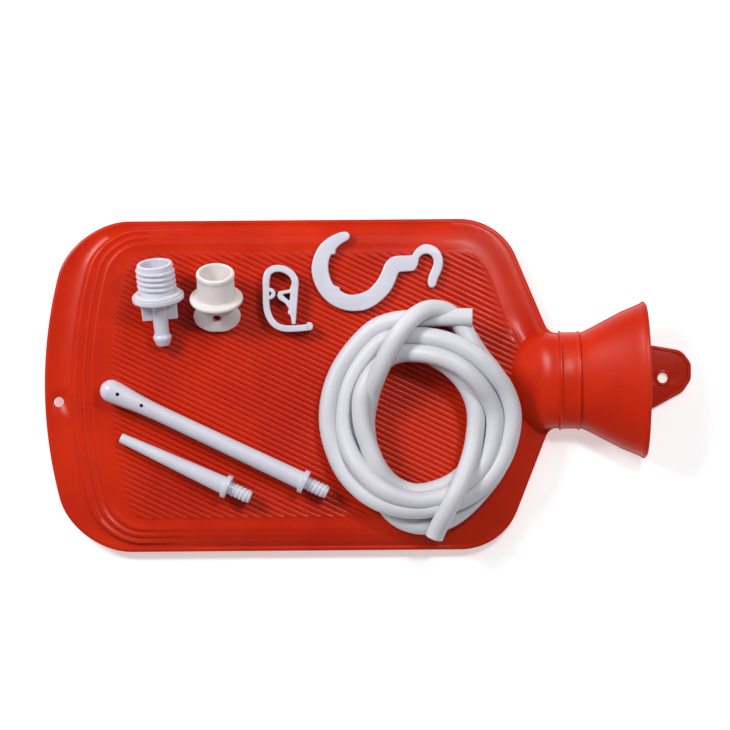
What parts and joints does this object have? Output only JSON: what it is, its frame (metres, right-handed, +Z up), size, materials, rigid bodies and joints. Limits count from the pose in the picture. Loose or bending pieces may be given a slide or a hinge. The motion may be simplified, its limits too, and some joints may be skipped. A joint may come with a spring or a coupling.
{
  "type": "rubber irrigation bag kit",
  "caption": "Flat rubber water bag with ribbed panels and filling funnel, with its screw stoppers, coiled tube, pinch clamp, hanging hook and two nozzles.",
  "frame": {"origin": "under the middle of the bag, on the surface it lies on", "axes": "+X along the bag towards the filling funnel, +Y across the bag, +Z up from the back panel to the front panel"},
  "size_m": [0.39, 0.2, 0.047],
  "materials": {
    "red_rubber": "satin moulded rubber",
    "socket_plastic": "moulded thread insert",
    "white_plastic": "moulded, slightly glossy",
    "natural_plastic": "soft, slightly translucent",
    "washer_rubber": "soft ring",
    "tube_pvc": "soft tube, satin"
  },
  "bodies": {
    "bag": {"front_panel": "red_rubber", "back_panel": "red_rubber", "neck_funnel": "red_rubber", "neck_socket": "socket_plastic", "neck_band": "red_rubber", "hanging_tab": "red_rubber"},
    "tube_stopper": {"tube_stopper": "white_plastic", "tube_stopper_washer": "washer_rubber"},
    "plain_stopper": {"plain_stopper": "natural_plastic"},
    "clamp": {"clamp_latch_arm": "white_plastic", "clamp_loop": "white_plastic"},
    "clamp_jaw": {"clamp_jaw_arm": "white_plastic"},
    "hook": {"hanging_hook": "white_plastic"},
    "tube": {"tube_coil": "tube_pvc"},
    "long_nozzle": {"long_nozzle": "white_plastic"},
    "short_nozzle": {"short_nozzle": "white_plastic"}
  },
  "joints": [
    {"name": "tube_stopper_lift", "type": "slide", "parent": "bag", "child": "tube_stopper", "axis": [0, 0, 1], "range_m": [0, 0.1]},
    {"name": "plain_stopper_lift", "type": "slide", "parent": "bag", "child": "plain_stopper", "axis": [0, 0, 1], "range_m": [0, 0.1]},
    {"name": "clamp_lift", "type": "slide", "parent": "bag", "child": "clamp", "axis": [0, 0, 1], "range_m": [0, 0.1]},
    {"name": "clamp_squeeze", "type": "hinge", "parent": "clamp", "child": "clamp_jaw", "pos_m": [-0.05145, 0.071, 0.01855], "axis": [0, 0, 1], "range_deg": [-1.5, 12], "stiffness_Nm_per_rad": 0.05, "deforming": ["clamp_loop"]},
    {"name": "hook_lift", "type": "slide", "parent": "bag", "child": "hook", "axis": [0, 0, 1], "range_m": [0, 0.1]},
    {"name": "tube_lift", "type": "slide", "parent": "bag", "child": "tube", "axis": [0, 0, 1], "range_m": [0, 0.1]},
    {"name": "long_nozzle_lift", "type": "slide", "parent": "bag", "child": "long_nozzle", "axis": [0, 0, 1], "range_m": [0, 0.1]},
    {"name": "short_nozzle_lift", "type": "slide", "parent": "bag", "child": "short_nozzle", "axis": [0, 0, 1], "range_m": [0, 0.1]}
  ]
}
